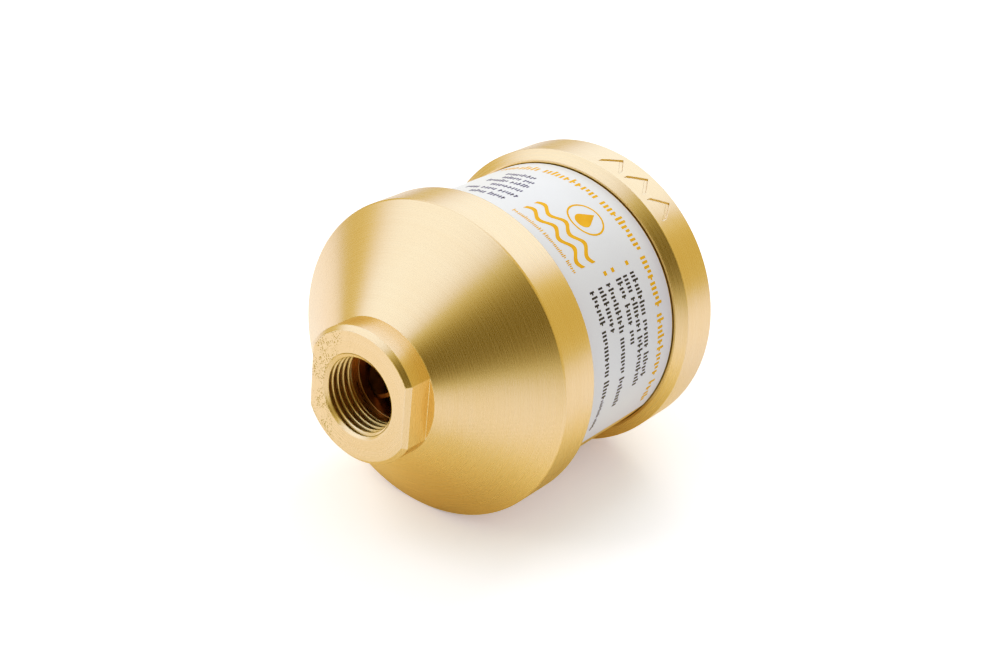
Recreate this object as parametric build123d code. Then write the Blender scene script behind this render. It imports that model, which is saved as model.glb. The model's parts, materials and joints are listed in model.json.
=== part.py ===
from build123d import *
from build123d import SkipClean
import math
import os

# Inline water conditioner: two conical brass caps screwed on a brass tube, with a free-turning swirl
# wheel behind each port and a sealed mineral capsule in the middle.
#
# Millimetres. +X is the flow direction, from the inlet port to the outlet port. +Z is up, and the
# wrench flats face +Y and -Y. The origin is on the flow axis, halfway between the port faces.
# Everything at an end is drawn at the inlet, with x measured inwards from the port face. The outlet
# gets the same piece turned half round about +Z, so that all threads stay right-handed.

# ---- outside of the cap ----
CAP_R = 40.0
BOSS_R = 17.0
BOSS_LENGTH = 7.3
FLAT_HALF_WIDTH = 15.0
FACE_CHAMFER = 1.1
CONE_END = 26.2
COLLAR_END = 37.4
CAP_LENGTH = 39.2
LIP_R = 37.4
EDGE_BREAK = 0.4

# ---- tube and overall length ----
TUBE_R = 36.5
TUBE_BORE_R = 31.5
TUBE_VISIBLE = 38.4
TOTAL_LENGTH = 2 * CAP_LENGTH + TUBE_VISIBLE

# ---- port thread, G1/2 ----
PORT_PITCH = 1.814
PORT_MAJOR_R = 10.48
PORT_MINOR_R = 9.32
PORT_CREST = 0.36
PORT_ROOT = 0.34
PORT_THREAD_START = 0.15
PORT_THREAD_END = 8.9
PORT_LEAD_IN = 0.75
PORT_MOUTH_R = 10.6
PORT_SLEEVE_R = 12.0
PORT_BORE_R = 9.85
PORT_BORE_END = 11.5

# ---- thread between tube and cap, M70 x 1.5 ----
JOINT_PITCH = 1.5
JOINT_MAJOR_R = 35.0
JOINT_MINOR_R = 34.2
JOINT_CLEARANCE = 0.12
JOINT_FLAT = 0.28
JOINT_START = 26.5
JOINT_END = 32.6
JOINT_SLEEVE_R = 36.0
MOUTH_BORE_R = 36.65
LAND_START = 34.0
TUBE_END = 25.4

# ---- inside of the cap ----
SEAT_X = 22.6
SEAT_R = 33.1
CONE_WALL = 7.1
SOCKET_R = 13.6
SOCKET_END = 15.0

# ---- support plate and its gasket ----
SEAL_THICKNESS = 0.6
SEAT_GAP = 0.05
PLATE_THICKNESS = 2.0
PLATE_R = 33.0
HUB_R = 6.8
HUB_FRONT = 22.3
HUB_BACK = 31.3
PLATE_HOLE_ROWS = ((13.0, 8, 2.4), (20.0, 12, 3.0), (26.2, 16, 2.4))

# ---- swirl wheel in its cage ----
CAGE_R = 13.55
CAGE_LIP_R = 9.7
CAGE_BORE_R = 11.6
CAGE_LIP_END = 13.9
CAGE_END = 21.4
VANE_COUNT = 3
VANE_TIP_R = 11.3
VANE_THICKNESS = 1.1
VANE_FRONT = 14.4
VANE_BACK = 20.4
VANE_TWIST = 50.0
VANE_SWEEP = 40.0
VANE_PHASE = 160.0
ROTOR_HUB_R = 3.4
ROTOR_NOSE = 13.8
ROTOR_BACK = 20.9

# ---- shaft, bush and clip ----
SHAFT_R = 1.5
SHAFT_FRONT = 16.4
SHAFT_BACK = 33.4
BUSH_R = 2.9
BUSH_FLANGE_R = 4.4
BUSH_FLANGE_FRONT = 21.3
RUNNING_CLEARANCE = 0.04
PRESS_GAP = 0.01
CLIP_FRONT = 31.7
CLIP_THICKNESS = 0.6
CLIP_R = 3.2
CLIP_OPENING = 1.9
GROOVE_R = 1.15

# ---- capsule ----
CAPSULE_R = 17.0
CAPSULE_WALL = 1.2
PLUG_NOSE = 27.6
PLUG_NOSE_R = 9.2
PLUG_SOCKET_END = 34.6
PLUG_SHOULDER = 37.0
PLUG_BACK = 44.0
PLUG_GROOVE_START = 39.4

# ---- O-rings ----
CORD = 2.0
CORD_SQUEEZE = 0.3
GROOVE_SLACK = 0.3
BODY_GROOVE_START = 35.4

# ---- helical guide between capsule and tube ----
GUIDE_START = 38.0
GUIDE_TURNS = 0.75
GUIDE_THICKNESS = 1.6
GUIDE_GAP = 0.3

# ---- label ----
LABEL_THICKNESS = 0.12
LABEL_MARGIN = 0.4
LABEL_FIRST_DEG = 26.0
LABEL_LAST_DEG = 211.5

# ---- flow mark cut in the outlet collar ----
MARK_DEPTH = 0.3
MARK_STROKE = 1.7
MARK_RISE = 5.2
MARK_HALF_WIDTH = 3.3
MARK_ANGLES = (103.0, 115.0, 127.0)

HALF_LENGTH = TOTAL_LENGTH / 2
CONE_SLOPE = (CAP_R - BOSS_R) / (CONE_END - BOSS_LENGTH)
PLATE_FRONT = SEAT_X + SEAL_THICKNESS + 2 * SEAT_GAP
PLATE_BACK = PLATE_FRONT + PLATE_THICKNESS
SPIGOT_R = CAPSULE_R - CAPSULE_WALL - 0.05
GROOVE_WIDTH = CORD + 2 * GROOVE_SLACK


def turned(*points):
    """Solid of revolution about the flow axis from (x, radius) points."""
    return revolve(make_face(Polyline(*points, close=True)), Axis.X)


def ring(x0, x1, inner, outer):
    return turned((x0, inner), (x1, inner), (x1, outer), (x0, outer))


def rod(x0, x1, radius):
    return turned((x0, 0), (x1, 0), (x1, radius), (x0, radius))


def radial_hole(x0, x1, radius, at_r, angle):
    """Cylinder along the flow axis, at_r away from it."""
    return Rot(angle, 0, 0) * Pos(0, at_r, 0) * rod(x0, x1, radius)


def helical_bar(x0, length, pitch, base_r, tip_r, base_width, tip_width):
    """Trapezoid from base_r to tip_r, swept along a right-handed helix."""
    path = Helix(pitch=pitch, height=length, radius=base_r, center=(x0, 0, 0), direction=(1, 0, 0))
    start = path @ 0
    outward = Vector(0, start.Y, start.Z).normalized()
    section = Plane(origin=start, x_dir=outward, z_dir=path % 0)
    reach = tip_r - base_r
    outline = Polyline(
        (0, -base_width / 2),
        (reach, -tip_width / 2),
        (reach, tip_width / 2),
        (0, base_width / 2),
        close=True,
    )
    return sweep(section * make_face(outline), path=path, is_frenet=True)


def o_ring(x_middle, inner, outer):
    """O-ring squeezed between two cylinders: an oval section with the cord's own area."""
    radial = outer - inner
    axial = CORD ** 2 / radial
    section = Pos(x_middle, (inner + outer) / 2) * Ellipse(axial / 2, radial / 2)
    return revolve(section, Axis.X)


def cone_inside_r(x):
    """Radius of the inner wall of the cap's cone at x."""
    return BOSS_R + CONE_SLOPE * (x - BOSS_LENGTH) - CONE_WALL


# ---- threads ----

def threaded_sleeve(x0, x1, pitch, groove_r, crest_r, back_r, crest_flat, root_flat):
    """Sleeve from x0 to x1 with one helical groove. back_r is its plain side, so the thread is on
    the inside when back_r is larger than crest_r, and on the outside when it is smaller."""
    overcut = 0.2 if crest_r > groove_r else -0.2
    flank = (pitch - crest_flat - root_flat) / abs(groove_r - crest_r)
    mouth_r = crest_r + overcut
    mouth_width = pitch - crest_flat + abs(overcut) * flank
    margin = 2 * pitch
    length = x1 - x0 + 2 * margin
    if crest_r > groove_r:
        groove = helical_bar(x0 - margin, length, pitch, groove_r, mouth_r, root_flat, mouth_width)
    else:
        groove = helical_bar(x0 - margin, length, pitch, mouth_r, groove_r, mouth_width, root_flat)
    inner = min(crest_r, back_r)
    outer = max(crest_r, back_r)
    sleeve = ring(x0 - 2 * margin, x1 + 2 * margin, inner, outer) - groove
    return sleeve & ring(x0, x1, 0, outer + 1)


def mouth_r(x):
    """Radius of the port's countersink at x."""
    return PORT_MOUTH_R - (PORT_MOUTH_R - PORT_MINOR_R) * x / PORT_LEAD_IN


def port_thread():
    """G1/2 thread, countersunk at the port face."""
    inside = PORT_LEAD_IN + 1
    sleeve = threaded_sleeve(
        PORT_THREAD_START,
        PORT_THREAD_END,
        PORT_PITCH,
        PORT_MAJOR_R,
        PORT_MINOR_R,
        PORT_SLEEVE_R,
        PORT_CREST,
        PORT_ROOT,
    )
    return sleeve - turned((-1, 0), (-1, mouth_r(-1)), (inside, mouth_r(inside)), (inside, 0))


def quartered(piece):
    """The same piece with its faces split by two planes through the axis, so that each face along
    a thread is a short stretch of the helix."""
    reach = 2 * CAP_R
    corner = Box(2 * TOTAL_LENGTH, reach, reach, align=(Align.CENTER, Align.MIN, Align.MIN))
    quarters = [piece & (Rot(turn, 0, 0) * corner) for turn in (0, 90, 180, 270)]
    return quarters[0].fuse(*quarters[1:])


def cap_joint_thread():
    """Inner M70 thread of the cap, with a lead-in chamfer on the open side."""
    sleeve = threaded_sleeve(
        JOINT_START,
        JOINT_END,
        JOINT_PITCH,
        JOINT_MAJOR_R,
        JOINT_MINOR_R,
        JOINT_SLEEVE_R,
        JOINT_FLAT,
        JOINT_FLAT,
    )
    inside = JOINT_END - (JOINT_MAJOR_R - JOINT_MINOR_R + 1)
    lead_in = turned(
        (JOINT_END + 1, 0),
        (JOINT_END + 1, JOINT_MAJOR_R + 1),
        (inside, JOINT_MINOR_R - 1),
        (inside, 0),
    )
    return sleeve - lead_in


def tube_joint_thread():
    """Outer M70 thread of the tube's inlet end, half a pitch from the cap's so that the two mesh."""
    crest_r = JOINT_MAJOR_R - JOINT_CLEARANCE
    root_r = JOINT_MINOR_R - JOINT_CLEARANCE
    start = JOINT_START - 1.5 * JOINT_PITCH
    sleeve = threaded_sleeve(
        start,
        start + 6 * JOINT_PITCH,
        JOINT_PITCH,
        root_r,
        crest_r,
        TUBE_BORE_R,
        JOINT_FLAT,
        JOINT_FLAT,
    )
    return sleeve & turned(
        (TUBE_END, 0),
        (TUBE_END, root_r - JOINT_CLEARANCE),
        (TUBE_END + 1, crest_r + JOINT_CLEARANCE),
        (JOINT_END, crest_r + JOINT_CLEARANCE),
        (JOINT_END, 0),
    )


# ---- cap ----

def cap_blank():
    """The turned cap without its flats, bored out where the two threads go."""
    bevel = EDGE_BREAK / 2
    return turned(
        (PORT_THREAD_START, PORT_SLEEVE_R),
        (PORT_THREAD_START, mouth_r(PORT_THREAD_START)),
        (0, PORT_MOUTH_R),
        (0, BOSS_R - FACE_CHAMFER),
        (FACE_CHAMFER, BOSS_R),
        (BOSS_LENGTH, BOSS_R),
        (CONE_END - bevel, CAP_R - CONE_SLOPE * bevel),
        (CONE_END + bevel, CAP_R),
        (COLLAR_END, CAP_R),
        (CAP_LENGTH, LIP_R),
        (CAP_LENGTH, MOUTH_BORE_R + bevel),
        (CAP_LENGTH - bevel, MOUTH_BORE_R),
        (LAND_START, MOUTH_BORE_R),
        (JOINT_END, JOINT_MAJOR_R + bevel),
        (JOINT_END, JOINT_SLEEVE_R),
        (JOINT_START, JOINT_SLEEVE_R),
        (JOINT_START, JOINT_MAJOR_R + bevel),
        (TUBE_END - EDGE_BREAK, JOINT_MAJOR_R + bevel),
        (TUBE_END - EDGE_BREAK, SEAT_R),
        (SEAT_X, SEAT_R),
        (SEAT_X, cone_inside_r(SEAT_X)),
        (SOCKET_END, cone_inside_r(SOCKET_END)),
        (SOCKET_END, SOCKET_R),
        (PORT_BORE_END, SOCKET_R),
        (PORT_BORE_END, PORT_BORE_R),
        (PORT_THREAD_END, PORT_BORE_R),
        (PORT_THREAD_END, PORT_SLEEVE_R),
    )


def flat_waste():
    """What is milled away beside the boss, on the +Y side, with the front chamfer along the flat."""
    outline = Polyline(
        (-1, FLAT_HALF_WIDTH - FACE_CHAMFER - 1),
        (FACE_CHAMFER, FLAT_HALF_WIDTH),
        (BOSS_LENGTH, FLAT_HALF_WIDTH),
        (BOSS_LENGTH, BOSS_R + 1),
        (-1, BOSS_R + 1),
        close=True,
    )
    return extrude(make_face(outline), BOSS_R, both=True)


def cap():
    waste = flat_waste()
    body = cap_blank() - waste - mirror(waste, Plane.XZ) + cap_joint_thread()
    with SkipClean():
        return body + quartered(port_thread())


def flow_mark():
    """Row of arrowheads round the collar that point the way the water leaves."""
    middle = TOTAL_LENGTH - (CONE_END + COLLAR_END) / 2
    height = MARK_RISE + MARK_STROKE
    arrow = Polyline(
        (middle + height / 2, 0),
        (middle + height / 2 - MARK_RISE, MARK_HALF_WIDTH),
        (middle - height / 2, MARK_HALF_WIDTH),
        (middle + height / 2 - MARK_STROKE, 0),
        (middle - height / 2, -MARK_HALF_WIDTH),
        (middle + height / 2 - MARK_RISE, -MARK_HALF_WIDTH),
        close=True,
    )
    cutter = extrude(Pos(0, 0, CAP_R - 1) * make_face(arrow), 2)
    skin = ring(middle - height, middle + height, CAP_R - MARK_DEPTH, CAP_R + 1)
    return [(Rot(angle - 90, 0, 0) * cutter) & skin for angle in MARK_ANGLES]


# ---- tube and label ----

def tube_end_waste():
    """What is turned off the inlet end of the tube: thread length, run-out and O-ring groove."""
    root_r = JOINT_MINOR_R - JOINT_CLEARANCE
    outside = TUBE_R + 1
    step = turned(
        (TUBE_END - 1, outside),
        (TUBE_END - 1, 0),
        (JOINT_END, 0),
        (JOINT_END, root_r),
        (LAND_START + EDGE_BREAK, root_r),
        (LAND_START + EDGE_BREAK, TUBE_R - EDGE_BREAK),
        (LAND_START + 2 * EDGE_BREAK, TUBE_R),
        (LAND_START + 2 * EDGE_BREAK, outside),
    )
    groove_r = MOUTH_BORE_R - CORD + CORD_SQUEEZE
    groove = ring(BODY_GROOVE_START, BODY_GROOVE_START + GROOVE_WIDTH, groove_r, outside)
    return step + groove


def body_tube():
    waste = tube_end_waste()
    thread = tube_joint_thread()
    tube = ring(TUBE_END, TOTAL_LENGTH - TUBE_END, TUBE_BORE_R, TUBE_R)
    return tube - waste - at_outlet(waste) + thread + at_outlet(thread)


def body_o_ring():
    inner = MOUTH_BORE_R - CORD + CORD_SQUEEZE
    return o_ring(BODY_GROOVE_START + GROOVE_WIDTH / 2, inner, MOUTH_BORE_R)


def label_wrap():
    """Printed film on the upper side of the tube, a little more than half round."""
    start = CAP_LENGTH + LABEL_MARGIN
    end = TOTAL_LENGTH - start
    section = make_face(Polyline(
        (start, TUBE_R),
        (end, TUBE_R),
        (end, TUBE_R + LABEL_THICKNESS),
        (start, TUBE_R + LABEL_THICKNESS),
        close=True,
    ))
    arc = LABEL_LAST_DEG - LABEL_FIRST_DEG
    return Rot(LABEL_FIRST_DEG, 0, 0) * revolve(section, Axis.X, revolution_arc=arc)


# ---- support plate ----

def support_plate():
    disc = rod(PLATE_FRONT, PLATE_BACK, PLATE_R)
    hub = rod(HUB_FRONT, HUB_BACK, HUB_R)
    plate = disc + hub - rod(HUB_FRONT - 1, HUB_BACK + 1, BUSH_R + PRESS_GAP)
    for row_r, count, hole_r in PLATE_HOLE_ROWS:
        for index in range(count):
            plate -= radial_hole(PLATE_FRONT - 1, PLATE_BACK + 1, hole_r, row_r, index * 360 / count)
    return plate


def plate_seal():
    front = SEAT_X + SEAT_GAP
    return ring(front, front + SEAL_THICKNESS, cone_inside_r(SEAT_X) + 0.3, PLATE_R)


# ---- swirl wheel ----

def swirl_cage():
    return turned(
        (PORT_BORE_END + SEAT_GAP, CAGE_LIP_R),
        (PORT_BORE_END + SEAT_GAP, CAGE_R - EDGE_BREAK),
        (PORT_BORE_END + SEAT_GAP + EDGE_BREAK, CAGE_R),
        (CAGE_END, CAGE_R),
        (CAGE_END, CAGE_BORE_R),
        (CAGE_LIP_END, CAGE_BORE_R),
        (CAGE_LIP_END, CAGE_LIP_R),
    )


def vane_section(x, turn):
    """Outline of one curved vane in the plane at x: two arcs from the hub to beyond the tip."""
    def point(r, share, side):
        angle = math.radians(turn + share * VANE_SWEEP) + side * VANE_THICKNESS / 2 / r
        return (x, r * math.cos(angle), r * math.sin(angle))

    inner_r = ROTOR_HUB_R - 0.8
    outer_r = VANE_TIP_R + 0.6
    middle_r = (inner_r + outer_r) / 2
    front = ThreePointArc(point(inner_r, 0, 1), point(middle_r, 0.4, 1), point(outer_r, 1, 1))
    back = ThreePointArc(point(inner_r, 0, -1), point(middle_r, 0.4, -1), point(outer_r, 1, -1))
    root = Line(point(inner_r, 0, 1), point(inner_r, 0, -1))
    tip = Line(point(outer_r, 1, 1), point(outer_r, 1, -1))
    return make_face([front, back, root, tip])


def vane():
    stations = 4
    sections = []
    for index in range(stations):
        share = index / (stations - 1)
        x = VANE_FRONT + share * (VANE_BACK - VANE_FRONT)
        sections.append(vane_section(x, share * VANE_TWIST))
    return loft(sections)


def rotor():
    nose = ROTOR_HUB_R
    outline = [
        Line((ROTOR_NOSE, 0), (ROTOR_BACK, 0)),
        Line((ROTOR_BACK, 0), (ROTOR_BACK, ROTOR_HUB_R)),
        Line((ROTOR_BACK, ROTOR_HUB_R), (ROTOR_NOSE + nose, ROTOR_HUB_R)),
        CenterArc((ROTOR_NOSE + nose, 0), nose, 90, 90),
    ]
    wheel = revolve(make_face(outline), Axis.X)
    blade = vane()
    for index in range(VANE_COUNT):
        wheel += Rot(VANE_PHASE + index * 360 / VANE_COUNT, 0, 0) * blade
    wheel = wheel & rod(ROTOR_NOSE - 1, ROTOR_BACK, VANE_TIP_R)
    return wheel - rod(SHAFT_FRONT, ROTOR_BACK + 1, SHAFT_R + PRESS_GAP)


def rotor_shaft():
    return turned(
        (SHAFT_FRONT + 0.1, 0),
        (SHAFT_FRONT + 0.1, SHAFT_R),
        (CLIP_FRONT - 0.1, SHAFT_R),
        (CLIP_FRONT - 0.1, GROOVE_R),
        (CLIP_FRONT + CLIP_THICKNESS + 0.1, GROOVE_R),
        (CLIP_FRONT + CLIP_THICKNESS + 0.1, SHAFT_R),
        (SHAFT_BACK - EDGE_BREAK, SHAFT_R),
        (SHAFT_BACK, SHAFT_R - EDGE_BREAK),
        (SHAFT_BACK, 0),
    )


def shaft_clip():
    """Snap clip in the shaft groove, with the opening that lets it slide on."""
    middle = CLIP_FRONT + CLIP_THICKNESS / 2
    opening = Box(1, CLIP_R + 1, CLIP_OPENING, align=(Align.CENTER, Align.MIN, Align.CENTER))
    clip = ring(CLIP_FRONT, CLIP_FRONT + CLIP_THICKNESS, GROOVE_R + PRESS_GAP, CLIP_R)
    return clip - Pos(middle, 0, 0) * opening


def bush():
    flange_back = HUB_FRONT - PRESS_GAP
    bore_r = SHAFT_R + RUNNING_CLEARANCE
    flange = ring(BUSH_FLANGE_FRONT, flange_back, bore_r, BUSH_FLANGE_R)
    return flange + ring(flange_back, HUB_BACK, bore_r, BUSH_R)


# ---- capsule ----

def capsule_plug():
    groove_r = SPIGOT_R + 0.05 - CORD + CORD_SQUEEZE
    socket_r = HUB_R + 0.05
    return turned(
        (PLUG_NOSE, socket_r),
        (PLUG_NOSE, PLUG_NOSE_R),
        (PLUG_SHOULDER, CAPSULE_R),
        (PLUG_SHOULDER + 1, CAPSULE_R),
        (PLUG_SHOULDER + 1, SPIGOT_R),
        (PLUG_GROOVE_START, SPIGOT_R),
        (PLUG_GROOVE_START, groove_r),
        (PLUG_GROOVE_START + GROOVE_WIDTH, groove_r),
        (PLUG_GROOVE_START + GROOVE_WIDTH, SPIGOT_R),
        (PLUG_BACK, SPIGOT_R),
        (PLUG_BACK, 0),
        (PLUG_SOCKET_END, 0),
        (PLUG_SOCKET_END, socket_r),
    )


def capsule_o_ring():
    bore_r = CAPSULE_R - CAPSULE_WALL
    return o_ring(PLUG_GROOVE_START + GROOVE_WIDTH / 2, bore_r - CORD + CORD_SQUEEZE, bore_r)


def capsule_shell():
    start = PLUG_SHOULDER + 1 + SEAT_GAP
    return ring(start, TOTAL_LENGTH - start, CAPSULE_R - CAPSULE_WALL, CAPSULE_R)


def mineral_fill():
    start = PLUG_BACK + SEAT_GAP
    return rod(start, TOTAL_LENGTH - start, SPIGOT_R)


def swirl_guide():
    """Strip wound on edge round the capsule."""
    length = TOTAL_LENGTH - 2 * GUIDE_START
    inner = CAPSULE_R + GUIDE_GAP
    outer = TUBE_BORE_R - GUIDE_GAP
    pitch = length / GUIDE_TURNS
    return helical_bar(GUIDE_START, length, pitch, inner, outer, GUIDE_THICKNESS, GUIDE_THICKNESS)


# ---- placing ----

def at_outlet(piece):
    """The same piece at the other end, turned half round about +Z."""
    return Pos(TOTAL_LENGTH, 0, 0) * Rot(0, 0, 180) * piece


def save(name, piece):
    placed = Pos(-HALF_LENGTH, 0, 0) * piece
    export_step(placed, f"parts/{name}.step")


def save_pair(name, piece):
    save(f"inlet_{name}", piece)
    save(f"outlet_{name}", at_outlet(piece))


def main():
    os.makedirs("parts", exist_ok=True)
    end_cap = cap()
    save("inlet_cap", end_cap)
    with SkipClean():
        marked_cap = at_outlet(end_cap) - flow_mark()
    save("outlet_cap", marked_cap)
    save("body_tube", body_tube())
    save("label_wrap", label_wrap())
    save("capsule_shell", capsule_shell())
    save("mineral_fill", mineral_fill())
    save("swirl_guide", swirl_guide())
    save_pair("body_o_ring", body_o_ring())
    save_pair("plate_seal", plate_seal())
    save_pair("support_plate", support_plate())
    save_pair("bush", bush())
    save_pair("swirl_cage", swirl_cage())
    save_pair("rotor", rotor())
    save_pair("rotor_shaft", rotor_shaft())
    save_pair("shaft_clip", shaft_clip())
    save_pair("capsule_plug", capsule_plug())
    save_pair("capsule_o_ring", capsule_o_ring())


main()
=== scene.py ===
import json
import math
import random
import bmesh
import bpy
from mathutils import Matrix, Vector


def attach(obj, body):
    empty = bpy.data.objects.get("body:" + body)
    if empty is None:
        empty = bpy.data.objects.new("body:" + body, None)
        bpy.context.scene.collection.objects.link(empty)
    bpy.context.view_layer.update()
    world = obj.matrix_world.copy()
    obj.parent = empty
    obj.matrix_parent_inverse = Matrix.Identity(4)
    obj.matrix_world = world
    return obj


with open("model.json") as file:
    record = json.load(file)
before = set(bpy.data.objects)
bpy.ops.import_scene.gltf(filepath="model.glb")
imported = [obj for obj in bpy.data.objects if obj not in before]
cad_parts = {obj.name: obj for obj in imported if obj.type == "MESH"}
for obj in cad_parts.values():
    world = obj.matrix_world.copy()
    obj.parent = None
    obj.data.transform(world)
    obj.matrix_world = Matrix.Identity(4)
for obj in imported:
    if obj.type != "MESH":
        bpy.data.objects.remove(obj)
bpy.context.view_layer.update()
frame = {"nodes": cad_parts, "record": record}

# Metres, in the frame of the CAD nodes: +X along the flow, +Z up, origin in the middle of the flow axis.
MM = 0.001
HALF_LENGTH = 58.4 * MM
# Radius of the label's outer face.
LABEL_R = 36.62 * MM
# The collars, 40 mm in radius, rest on the floor.
FLOOR_Z = -40.0 * MM

# ---- node helpers ----


class Shader:
    """A node tree that is built from short calls. Inputs are sockets, numbers, colours or vectors."""

    def __init__(self, owner):
        owner.use_nodes = True
        self.tree = owner.node_tree
        self.tree.nodes.clear()

    def node(self, kind, inputs=(), output=0, **settings):
        node = self.tree.nodes.new(kind)
        for name, value in settings.items():
            setattr(node, name, value)
        for key, value in dict(inputs).items():
            socket = node.inputs[key]
            if isinstance(value, bpy.types.NodeSocket):
                self.tree.links.new(value, socket)
            else:
                socket.default_value = value
        return node.outputs[output] if node.outputs else None

    def math(self, operation, a, b=0.0, clamp=False):
        return self.node("ShaderNodeMath", {0: a, 1: b}, operation=operation, use_clamp=clamp)

    def remap(self, value, from_low, from_high, to_low, to_high, smooth=False):
        kind = "SMOOTHSTEP" if smooth else "LINEAR"
        inputs = {
            "Value": value,
            "From Min": from_low,
            "From Max": from_high,
            "To Min": to_low,
            "To Max": to_high,
        }
        return self.node("ShaderNodeMapRange", inputs, interpolation_type=kind)

    def mix(self, factor, a, b, blend="MIX"):
        node = self.tree.nodes.new("ShaderNodeMix")
        node.data_type = "RGBA"
        node.blend_type = blend
        for socket, value in ((node.inputs[0], factor), (node.inputs[6], a), (node.inputs[7], b)):
            if isinstance(value, bpy.types.NodeSocket):
                self.tree.links.new(value, socket)
            elif socket.type == "RGBA":
                socket.default_value = (*value, 1.0)
            else:
                socket.default_value = value
        return node.outputs[2]

    def noise(self, vector, scale, detail=3.0):
        return self.node("ShaderNodeTexNoise", {"Vector": vector, "Scale": scale, "Detail": detail})

    def noise_1d(self, value, scale, detail=3.0):
        inputs = {"W": value, "Scale": scale, "Detail": detail}
        return self.node("ShaderNodeTexNoise", inputs, noise_dimensions="1D")

    def bump(self, height, strength, distance, normal=None):
        inputs = {"Height": height, "Strength": strength, "Distance": distance}
        if normal is not None:
            inputs["Normal"] = normal
        return self.node("ShaderNodeBump", inputs)

    def surface(self, inputs):
        surface = self.node("ShaderNodeBsdfPrincipled", inputs)
        self.node("ShaderNodeOutputMaterial", {"Surface": surface})


class Turned:
    """Coordinates that every lathe-turned piece shares: x, distance from the axis, and their sum,
    which changes along the profile. It changes least on the outlet cone, so the lines are widest there."""

    def __init__(self, shader):
        self.position = shader.node("ShaderNodeTexCoord", output=3)
        parts = shader.node("ShaderNodeSeparateXYZ", {0: self.position}).node
        self.x, self.y, self.z = parts.outputs
        square = shader.math("ADD", shader.math("POWER", self.y, 2.0), shader.math("POWER", self.z, 2.0))
        self.radius = shader.math("SQRT", square)
        self.profile = shader.math("ADD", self.x, self.radius)


def edge_mask(shader, radius):
    """Where the surface turns sharply, and the rounded normal that goes with it."""
    rounded = shader.node("ShaderNodeBevel", {"Radius": radius}, samples=4)
    normal = shader.node("ShaderNodeNewGeometry", output=1)
    agreement = shader.node(
        "ShaderNodeVectorMath", {0: rounded, 1: normal}, output=1, operation="DOT_PRODUCT"
    )
    return shader.remap(agreement, 0.995, 0.9, 0.0, 1.0), rounded


# ---- materials ----

BRASS = (0.88, 0.655, 0.375)
BRASS_WARM = (0.86, 0.60, 0.30)
BRASS_EDGE = (0.97, 0.80, 0.55)
STAIN = (0.30, 0.19, 0.07)


def port_stains(shader, turned):
    """Small dark specks on the +Y half of the inlet port face."""
    cells = shader.node("ShaderNodeTexVoronoi", {"Vector": turned.position, "Scale": 2500.0})
    speck = shader.remap(cells, 0.26, 0.42, 1.0, 0.0, smooth=True)
    patchy = shader.remap(shader.noise(turned.position, 330.0), 0.38, 0.58, 0.0, 1.0, smooth=True)
    on_face = shader.remap(turned.x, -58.25 * MM, -58.1 * MM, 1.0, 0.0)
    side = shader.remap(turned.y, 0.0, 10.0 * MM, 0.0, 1.0, smooth=True)
    where = shader.math("MULTIPLY", shader.math("MULTIPLY", speck, patchy), on_face)
    return shader.math("MULTIPLY", where, side)


def turned_brass(material, base, roughness, stained=False):
    shader = Shader(material)
    turned = Turned(shader)
    edge, rounded = edge_mask(shader, 0.3 * MM)
    grooves = shader.noise_1d(turned.profile, 3200.0, 2.0)
    bands = shader.noise_1d(turned.profile, 420.0, 2.0)
    cloud = shader.noise(turned.position, 45.0, 2.0)
    grain = shader.noise(turned.position, 2600.0, 2.0)
    tone = shader.mix(shader.remap(cloud, 0.35, 0.65, 0.0, 0.30, smooth=True), base, BRASS_WARM)
    tone = shader.mix(shader.remap(bands, 0.3, 0.7, 0.0, 0.08), tone, BRASS_EDGE)
    tone = shader.mix(shader.remap(grain, 0.3, 0.7, 0.0, 0.05), tone, STAIN)
    tone = shader.mix(shader.math("MULTIPLY", edge, 0.75), tone, BRASS_EDGE)
    if stained:
        tone = shader.mix(shader.math("MULTIPLY", port_stains(shader, turned), 0.9), tone, STAIN)
    rough = shader.remap(grooves, 0.3, 0.7, roughness - 0.03, roughness + 0.04)
    rough = shader.math("SUBTRACT", rough, shader.math("MULTIPLY", edge, 0.08))
    marks = shader.math("ADD", grooves, shader.math("MULTIPLY", grain, 0.3))
    normal = shader.bump(marks, 0.016, 0.02 * MM, rounded)
    tangent = shader.node("ShaderNodeTangent", direction_type="RADIAL", axis="X")
    shader.surface({
        "Base Color": tone,
        "Metallic": 1.0,
        "Roughness": rough,
        "Normal": normal,
        "Tangent": tangent,
        "Anisotropic": 0.45,
    })


def copper(material):
    shader = Shader(material)
    turned = Turned(shader)
    edge, rounded = edge_mask(shader, 0.2 * MM)
    cloud = shader.noise(turned.position, 300.0)
    scratches = shader.noise_1d(turned.profile, 5000.0, 2.0)
    tone = shader.mix(shader.remap(cloud, 0.35, 0.65, 0.0, 1.0), (0.58, 0.30, 0.16), (0.40, 0.18, 0.08))
    tone = shader.mix(shader.math("MULTIPLY", edge, 0.7), tone, (0.82, 0.52, 0.34))
    rough = shader.remap(cloud, 0.3, 0.7, 0.28, 0.42)
    normal = shader.bump(scratches, 0.12, 0.02 * MM, rounded)
    shader.surface({"Base Color": tone, "Metallic": 1.0, "Roughness": rough, "Normal": normal})


def steel(material, light, dark, roughness):
    shader = Shader(material)
    turned = Turned(shader)
    edge, rounded = edge_mask(shader, 0.15 * MM)
    lines = shader.noise_1d(turned.profile, 4500.0, 2.0)
    cloud = shader.noise(turned.position, 120.0)
    tone = shader.mix(shader.remap(cloud, 0.35, 0.65, 0.0, 0.6), light, dark)
    tone = shader.mix(shader.math("MULTIPLY", edge, 0.7), tone, (0.9, 0.9, 0.9))
    rough = shader.remap(lines, 0.3, 0.7, roughness - 0.06, roughness + 0.06)
    normal = shader.bump(lines, 0.15, 0.02 * MM, rounded)
    shader.surface({"Base Color": tone, "Metallic": 1.0, "Roughness": rough, "Normal": normal})


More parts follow.
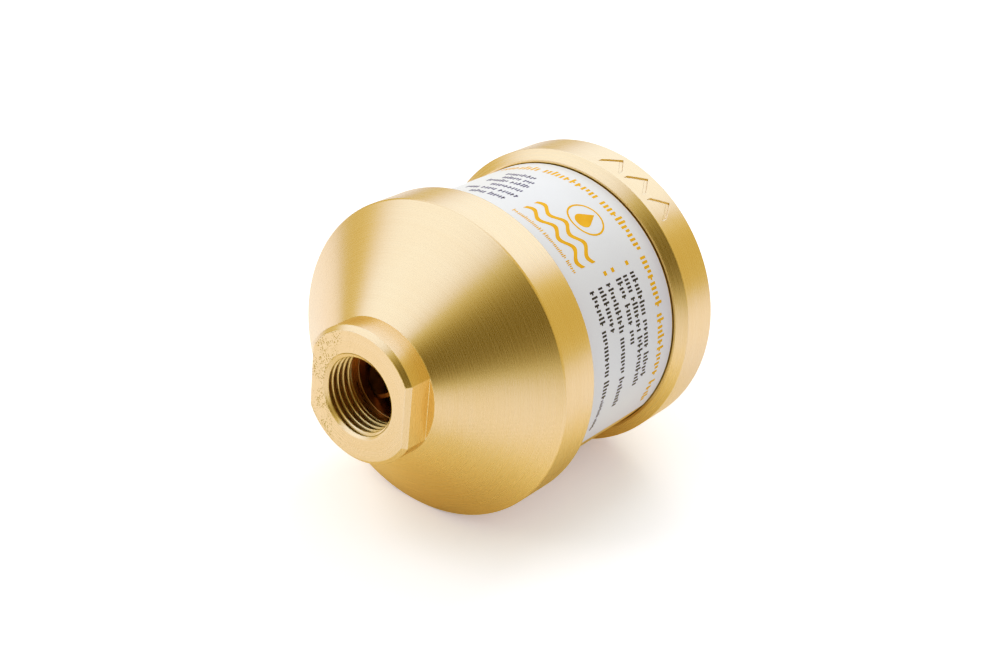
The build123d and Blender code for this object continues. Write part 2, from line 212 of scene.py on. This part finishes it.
def label_film(material):
    """Satin white film, a little greyer in places, with fine fibres and a rubbed edge."""
    shader = Shader(material)
    turned = Turned(shader)
    edge, rounded = edge_mask(shader, 0.1 * MM)
    cloud = shader.noise(turned.position, 60.0, 3.0)
    fibres = shader.noise(turned.position, 4000.0, 2.0)
    tone = shader.mix(shader.remap(cloud, 0.3, 0.7, 0.0, 1.0), (0.80, 0.80, 0.80), (0.765, 0.765, 0.77))
    tone = shader.mix(shader.remap(fibres, 0.4, 0.7, 0.0, 0.08), tone, (0.55, 0.55, 0.56))
    tone = shader.mix(shader.math("MULTIPLY", edge, 0.5), tone, (0.55, 0.52, 0.46))
    rough = shader.remap(cloud, 0.3, 0.7, 0.36, 0.46)
    normal = shader.bump(fibres, 0.06, 0.02 * MM, rounded)
    shader.surface({"Base Color": tone, "Roughness": rough, "Normal": normal, "Specular IOR Level": 0.4})


def ink(material, light, dark):
    """Printing ink with small gaps and a slightly uneven shine."""
    shader = Shader(material)
    position = shader.node("ShaderNodeTexCoord", output=3)
    speckle = shader.noise(position, 3500.0, 2.0)
    cloud = shader.noise(position, 240.0, 2.0)
    tone = shader.mix(shader.remap(cloud, 0.3, 0.7, 0.0, 1.0), light, dark)
    tone = shader.mix(shader.remap(speckle, 0.62, 0.75, 0.0, 0.35), tone, (0.7, 0.7, 0.7))
    rough = shader.remap(cloud, 0.3, 0.7, 0.35, 0.5)
    shader.surface({"Base Color": tone, "Roughness": rough, "Specular IOR Level": 0.25})


def rubber(material):
    shader = Shader(material)
    position = shader.node("ShaderNodeTexCoord", output=3)
    dust = shader.noise(position, 900.0, 4.0)
    tone = shader.mix(shader.remap(dust, 0.45, 0.75, 0.0, 1.0), (0.012, 0.012, 0.012), (0.05, 0.048, 0.045))
    rough = shader.remap(dust, 0.3, 0.7, 0.5, 0.7)
    shader.surface({"Base Color": tone, "Roughness": rough, "Normal": shader.bump(dust, 0.2, 0.05 * MM)})


def bearing_plastic(material):
    shader = Shader(material)
    turned = Turned(shader)
    marks = shader.noise_1d(turned.profile, 3000.0, 2.0)
    cloud = shader.noise(turned.position, 300.0)
    tone = shader.mix(shader.remap(cloud, 0.3, 0.7, 0.0, 1.0), (0.80, 0.79, 0.74), (0.68, 0.66, 0.60))
    rough = shader.remap(marks, 0.3, 0.7, 0.35, 0.5)
    shader.surface({"Base Color": tone, "Roughness": rough, "Normal": shader.bump(marks, 0.2, 0.03 * MM)})


def mineral(material):
    shader = Shader(material)
    position = shader.node("ShaderNodeTexCoord", output=3)
    grains = shader.node("ShaderNodeTexVoronoi", {"Vector": position, "Scale": 700.0}).node
    shade = shader.remap(shader.noise(position, 350.0), 0.3, 0.7, 0.0, 1.0)
    tone = shader.mix(shade, (0.42, 0.38, 0.32), (0.22, 0.19, 0.16))
    tone = shader.mix(0.35, tone, grains.outputs["Color"], "MULTIPLY")
    normal = shader.bump(grains.outputs["Distance"], 0.8, 0.4 * MM)
    shader.surface({"Base Color": tone, "Roughness": 0.85, "Normal": normal})


def finish_materials():
    """Gives every CAD node the look of its material slot."""
    painters = {
        "turned_brass": lambda m: turned_brass(m, BRASS, 0.27, stained=True),
        "tube_brass": lambda m: turned_brass(m, (0.86, 0.64, 0.38), 0.33),
        "plate_brass": lambda m: turned_brass(m, BRASS_WARM, 0.30),
        "label_film": label_film,
        "seal_rubber": rubber,
        "bearing_plastic": bearing_plastic,
        "copper": copper,
        "capsule_steel": lambda m: steel(m, (0.62, 0.62, 0.61), (0.50, 0.50, 0.50), 0.32),
        "shaft_steel": lambda m: steel(m, (0.70, 0.70, 0.70), (0.58, 0.58, 0.59), 0.22),
        "mineral": mineral,
    }
    done = {}
    for subpart in frame["record"]["subparts"]:
        slot = subpart["material_slot"]
        if slot not in done:
            done[slot] = bpy.data.materials.new(slot + "_look")
            painters[slot](done[slot])
        mesh = frame["nodes"][subpart["node"]].data
        mesh.materials.clear()
        mesh.materials.append(done[slot])


# ---- print on the label ----
#
# Artwork is drawn flat as outlines of (u, v) in millimetres. u is the arc length round the tube in the
# direction of growing angle, v the distance from the inlet face. It is wrapped on the label afterwards.

INK_THICKNESS = 0.05
# Depth of the ink's underside below the label's outer face.
INK_SUNK = 0.02
SLICE_WIDTH = 1.0


def arc_length(degrees):
    return math.radians(degrees) * LABEL_R / MM


def bar(u, v, width, height):
    return [(u, v), (u + width, v), (u + width, v + height), (u, v + height)]


def text_row(seed, first_deg, last_deg, v, height, stroke, word=(3, 9)):
    """A row of unreadable filler: words made of short upright strokes and blocks."""
    rng = random.Random(seed)
    u = arc_length(first_deg)
    end = arc_length(last_deg)
    shapes = []
    while u < end - 2 * stroke:
        for _ in range(rng.randint(*word)):
            rise = height if rng.random() < 0.3 else 0.74 * height
            gap = 0.85 * stroke
            style = rng.randint(0, 3)
            shapes.append(bar(u, v, stroke, rise))
            u += stroke
            if style == 0:
                shapes.append(bar(u, v + 0.30 * height, gap, 0.9 * stroke))
                u += gap
            elif style == 1:
                shapes.append(bar(u + gap, v, stroke, 0.74 * height))
                u += gap + stroke
            elif style == 2:
                shapes.append(bar(u + gap, v + 0.22 * height, stroke, 0.52 * height))
                u += gap + stroke
            u += 0.95 * stroke
            if u > end:
                break
        u += 1.9 * stroke
    return shapes


def ribbon(points, half):
    """Band that follows the points and reaches half above and below them."""
    return [(u, v + half) for u, v in points] + [(u, v - half) for u, v in reversed(points)]


def waves(first_deg, last_deg, v, rise):
    """Two water waves, one over the other."""
    start = arc_length(first_deg)
    length = arc_length(last_deg) - start
    steps = 48
    shapes = []
    for level in (0.24, 0.76):
        line = []
        for step in range(steps + 1):
            swing = math.sin(step / steps * 3 * math.tau)
            line.append((start + length * step / steps, v + rise * (level + 0.14 * swing)))
        shapes.append(ribbon(line, 0.085 * rise))
    return shapes


def circle_band(u, v, outer, inner, parts):
    """A ring as a closed row of four-sided pieces."""
    shapes = []
    for part in range(parts):
        a = math.tau * part / parts
        b = math.tau * (part + 1) / parts
        corners = ((outer, a), (outer, b), (inner, b), (inner, a))
        shapes.append([(u + r * math.cos(turn), v + r * math.sin(turn)) for r, turn in corners])
    return shapes


def drop(u, v, size):
    """A water drop, its tip towards the outlet."""
    outline = []
    for step in range(28):
        turn = math.radians(150 + 240 * step / 27)
        outline.append((u + 0.62 * size * math.cos(turn), v + 0.62 * size * math.sin(turn)))
    outline.append((u, v + 1.35 * size))
    return outline


def wrap(name, shapes, material, slices):
    """Thin solids from flat outlines, wrapped round the label. With slices, the outlines are first cut
    into strips so that wide ones follow the curve."""
    flat = bmesh.new()
    for shape in shapes:
        flat.faces.new([flat.verts.new((u, v, 0.0)) for u, v in shape])
    bmesh.ops.remove_doubles(flat, verts=flat.verts, dist=1e-4)
    bmesh.ops.triangulate(flat, faces=flat.faces)
    if slices:
        low = min(vert.co.x for vert in flat.verts)
        high = max(vert.co.x for vert in flat.verts)
        for step in range(1, int((high - low) / SLICE_WIDTH) + 1):
            geometry = flat.verts[:] + flat.edges[:] + flat.faces[:]
            cut = (low + step * SLICE_WIDTH, 0, 0)
            bmesh.ops.bisect_plane(flat, geom=geometry, plane_co=cut, plane_no=(1, 0, 0))
    bmesh.ops.recalc_face_normals(flat, faces=flat.faces)
    for face in flat.faces:
        if face.normal.z < 0:
            face.normal_flip()
    raised = bmesh.ops.extrude_face_region(flat, geom=flat.faces[:], use_keep_orig=True)["geom"]
    for item in raised:
        if isinstance(item, bmesh.types.BMVert):
            item.co.z = INK_THICKNESS
    for vert in flat.verts:
        turn = vert.co.x * MM / LABEL_R
        radius = LABEL_R + (vert.co.z - INK_SUNK) * MM
        along = vert.co.y * MM - HALF_LENGTH
        vert.co = (along, radius * math.cos(turn), radius * math.sin(turn))
    bmesh.ops.recalc_face_normals(flat, faces=flat.faces)
    mesh = bpy.data.meshes.new(name)
    flat.to_mesh(mesh)
    flat.free()
    mesh.materials.append(material)
    piece = bpy.data.objects.new(name, mesh)
    bpy.context.scene.collection.objects.link(piece)
    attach(piece, "casing")
    return piece


# Middles of the rows of filler: (v, last angle) for the lines, (v, first angle, last angle) for the data.
LINE_FIRST_DEG = 143.3
LINES = ((65.2, 186), (62.2, 190), (59.1, 168), (54.9, 194), (51.5, 161), (48.0, 185))
DATA = ((65.0, 74, 90), (61.9, 76, 89), (58.8, 72, 92), (55.4, 78, 91), (52.0, 70, 96), (48.6, 76, 92))
BULLET_DEG = 138.6
BULLET_SIZE = 1.1
EMBLEM_DEG = 117.2


def print_label():
    amber = bpy.data.materials.new("amber_ink")
    ink(amber, (0.86, 0.46, 0.012), (0.79, 0.40, 0.010))
    black = bpy.data.materials.new("black_ink")
    ink(black, (0.012, 0.013, 0.065), (0.026, 0.027, 0.085))

    wrap("print_heading", text_row(3, 64, 203, 70.4, 2.9, 0.66, word=(6, 10)), amber, slices=False)
    wrap("print_waves", waves(101, 134, 47.3, 8.4), amber, slices=True)
    centre = arc_length(EMBLEM_DEG)
    emblem = circle_band(centre, 61.6, 5.2, 4.7, 48)
    emblem.append(drop(centre, 60.3, 3.6))
    wrap("print_drop", emblem, amber, slices=True)
    wrap("print_subtitle", text_row(5, 100, 134.5, 44.9, 1.3, 0.26, word=(8, 12)), amber, slices=False)
    bullets = [bar(arc_length(BULLET_DEG), v, BULLET_SIZE, BULLET_SIZE) for v in (64.3, 58.1, 54.9)]
    wrap("print_bullets", bullets, amber, slices=False)

    lines = []
    for index, (v, last) in enumerate(LINES):
        lines += text_row(20 + index, LINE_FIRST_DEG, last, v - 1.0, 2.2, 0.50)
    wrap("print_lines", lines, black, slices=False)

    small = text_row(40, 187, 202, 47.2, 1.3, 0.26)
    for index, (v, first, last) in enumerate(DATA):
        small += text_row(50 + index, first, last, v - 0.9, 1.9, 0.42)
    wrap("print_data", small, black, slices=False)


# ---- studio ----

def direction(azimuth, elevation):
    """Unit vector from azimuth, counted from +X towards +Y, and elevation, in degrees."""
    a = math.radians(azimuth)
    e = math.radians(elevation)
    return Vector((math.cos(e) * math.cos(a), math.cos(e) * math.sin(a), math.sin(e)))


def lobe(shader, toward, azimuth, elevation, inner, outer, strength):
    """Soft round patch of the surroundings."""
    inputs = {0: toward, 1: direction(azimuth, elevation)}
    facing = shader.node("ShaderNodeVectorMath", inputs, output=1, operation="DOT_PRODUCT")
    low = math.cos(math.radians(outer))
    high = math.cos(math.radians(inner))
    return shader.remap(facing, low, high, 0.0, strength, smooth=True)


# What metal mirrors: a base brightness, changed by soft patches
# (azimuth, elevation, inner angle, outer angle, change of brightness).
REFLECTED_BASE = 0.72
REFLECTED = (
    (141, 46, 17, 52, 0.58),
    (17, 44, 14, 43, 0.58),
    (-150, 20, 6, 44, -0.56),
    (-60, 30, 10, 50, -0.05),
)
# Colour that each brightness is given, and the scales that keep both within a colour ramp.
TONES = (
    (0.15, (0.13, 0.10, 0.02)),
    (0.25, (0.25, 0.205, 0.045)),
    (0.35, (0.35, 0.29, 0.085)),
    (0.61, (0.61, 0.52, 0.24)),
    (0.74, (0.74, 0.63, 0.37)),
    (0.84, (0.84, 0.79, 0.62)),
    (0.96, (0.96, 0.95, 0.90)),
    (1.03, (1.03, 1.12, 1.25)),
    (1.15, (1.16, 1.32, 1.60)),
)
TONE_TOP = 1.6
BRIGHTNESS_TOP = 1.2
# What lights matt surfaces, in the same form.
EVEN_BASE = 0.56
EVEN_PATCHES = ((140, 46, 10, 80, 0.18), (12, 44, 10, 80, 0.14))


def surroundings():
    """Studio round the object. Metal mirrors bright panels and a darker side, matt surfaces are lit by
    a nearly even white, and the camera sees plain white."""
    world = bpy.data.worlds.new("studio")
    bpy.context.scene.world = world
    shader = Shader(world)
    toward = shader.node("ShaderNodeTexCoord", output=0)
    brightness = REFLECTED_BASE
    for patch in REFLECTED:
        brightness = shader.math("ADD", brightness, lobe(shader, toward, *patch))
    scaled = shader.math("DIVIDE", brightness, BRIGHTNESS_TOP, clamp=True)
    ramp = shader.node("ShaderNodeValToRGB", {0: scaled}).node
    points = ramp.color_ramp.elements
    points.remove(points[1])
    for index, (level, tone) in enumerate(TONES):
        point = points[0] if index == 0 else points.new(level / BRIGHTNESS_TOP)
        point.position = level / BRIGHTNESS_TOP
        point.color = (*[channel / TONE_TOP for channel in tone], 1.0)
    panels = shader.node("ShaderNodeVectorMath", {0: ramp.outputs[0], 3: TONE_TOP}, operation="SCALE")
    even = EVEN_BASE
    for patch in EVEN_PATCHES:
        even = shader.math("ADD", even, lobe(shader, toward, *patch))
    paths = shader.node("ShaderNodeLightPath").node
    matt = shader.node("ShaderNodeBackground", {"Color": (1.0, 1.0, 1.0, 1.0), "Strength": even})
    shiny = shader.node("ShaderNodeBackground", {"Color": panels})
    plain = shader.node("ShaderNodeBackground", {"Color": (1.0, 1.0, 1.0, 1.0)})
    lit = shader.node("ShaderNodeMixShader", {0: paths.outputs["Is Glossy Ray"], 1: matt, 2: shiny})
    seen = shader.node("ShaderNodeMixShader", {0: paths.outputs["Is Camera Ray"], 1: lit, 2: plain})
    shader.node("ShaderNodeOutputWorld", {"Surface": seen})
    world.cycles.sampling_method = "NONE"


PANEL_DISTANCE = 0.9
PANEL_WIDTH = 0.55


def panel(name, azimuth, elevation, watts):
    """Soft square light that faces the object. Only matt surfaces see it."""
    light = bpy.data.lights.new(name, "AREA")
    light.shape = "SQUARE"
    light.size = PANEL_WIDTH
    light.energy = watts
    lamp = bpy.data.objects.new(name, light)
    place = direction(azimuth, elevation) * PANEL_DISTANCE
    lamp.matrix_world = Matrix.Translation(place) @ place.to_track_quat("Z", "Y").to_matrix().to_4x4()
    lamp.visible_glossy = False
    bpy.context.scene.collection.objects.link(lamp)


# Share of white that the floor shows the camera on top of its own shading, as light passing through it:
# near the object, and far off where the panels no longer reach. Distances are in metres from the origin.
FLOOR_REACH = 6.0
FLOOR_LIFT = 0.27
FLOOR_LIFT_FAR = 0.62
LIFT_GROWS = (0.35, 1.5)
# Painted warm shade of the floor close to the object, where metal mirrors it: golden bounce light and
# shadow painted into its colour, and the distances between which it fades.
FLOOR_PAINTED_WARM_SHADE = (0.98, 0.88, 0.62)
PAINTED_SHADE_FADES = (0.05, 0.115)


def floor():
    mesh = bpy.data.meshes.new("floor")
    turns = ((-1, -1), (1, -1), (1, 1), (-1, 1))
    corners = [(x * FLOOR_REACH, y * FLOOR_REACH, FLOOR_Z) for x, y in turns]
    mesh.from_pydata(corners, [], [(0, 1, 2, 3)])
    piece = bpy.data.objects.new("floor", mesh)
    bpy.context.scene.collection.objects.link(piece)
    material = bpy.data.materials.new("paper_floor")
    shader = Shader(material)
    position = shader.node("ShaderNodeTexCoord", output=3)
    tone = shader.mix(shader.noise(position, 30.0), (0.93, 0.93, 0.93), (0.95, 0.95, 0.95))
    far = shader.node("ShaderNodeVectorMath", {0: position}, output=1, operation="LENGTH")
    lift = shader.remap(far, *LIFT_GROWS, FLOOR_LIFT, FLOOR_LIFT_FAR, smooth=True)
    paths = shader.node("ShaderNodeLightPath").node
    near = shader.remap(far, *PAINTED_SHADE_FADES, 1.0, 0.0, smooth=True)
    # Painted shade: the floor near the object turns warm for glossy rays only, in place of golden bounce
    # light in its shadow.
    painted_shade_mask = shader.math("MULTIPLY", near, paths.outputs["Is Glossy Ray"])
    tone = shader.mix(painted_shade_mask, tone, FLOOR_PAINTED_WARM_SHADE)
    seen = paths.outputs["Is Camera Ray"]
    shader.surface({
        "Base Color": tone,
        "Roughness": 1.0,
        "Specular IOR Level": 0.0,
        "Emission Color": (1.0, 0.99, 0.985, 1.0),
        "Emission Strength": shader.math("MULTIPLY", seen, lift),
    })
    mesh.materials.append(material)


CAMERA_PLACE = Vector((-304.22, -208.66, 178.45)) * MM
CAMERA_RIGHT = Vector((0.60489, -0.79103, 0.09153))
CAMERA_UP = Vector((0.30405, 0.33566, 0.89156))
LENS = 57.87
SENSOR_WIDTH = 36.0


def camera():
    lens = bpy.data.cameras.new("camera")
    lens.lens = LENS
    lens.sensor_width = SENSOR_WIDTH
    lens.clip_start = 0.01
    eye = bpy.data.objects.new("camera", lens)
    back = CAMERA_RIGHT.cross(CAMERA_UP)
    eye.matrix_world = Matrix((
        (CAMERA_RIGHT.x, CAMERA_UP.x, back.x, CAMERA_PLACE.x),
        (CAMERA_RIGHT.y, CAMERA_UP.y, back.y, CAMERA_PLACE.y),
        (CAMERA_RIGHT.z, CAMERA_UP.z, back.z, CAMERA_PLACE.z),
        (0.0, 0.0, 0.0, 1.0),
    ))
    bpy.context.scene.collection.objects.link(eye)
    bpy.context.scene.camera = eye


GREEN_CURVE = ((0.05, 0.046), (0.20, 0.185), (0.40, 0.385), (0.70, 0.70))
BLUE_CURVE = (
    (0.05, 0.024),
    (0.10, 0.050),
    (0.20, 0.125),
    (0.30, 0.262),
    (0.36, 0.352),
    (0.50, 0.515),
    (0.60, 0.600),
)


def film():
    """Plain view, with the toe of the green and blue curves lowered so that dark brass turns olive."""
    view = bpy.context.scene.view_settings
    view.view_transform = "Standard"
    view.use_curve_mapping = True
    curves = view.curve_mapping.curves
    for index, points in ((1, GREEN_CURVE), (2, BLUE_CURVE)):
        for place, level in points:
            curves[index].points.new(place, level)
    view.curve_mapping.update()


finish_materials()
print_label()
surroundings()
panel("key_panel", 140, 46, 2.4)
panel("fill_panel", 12, 50, 2.8)
floor()
camera()
film()
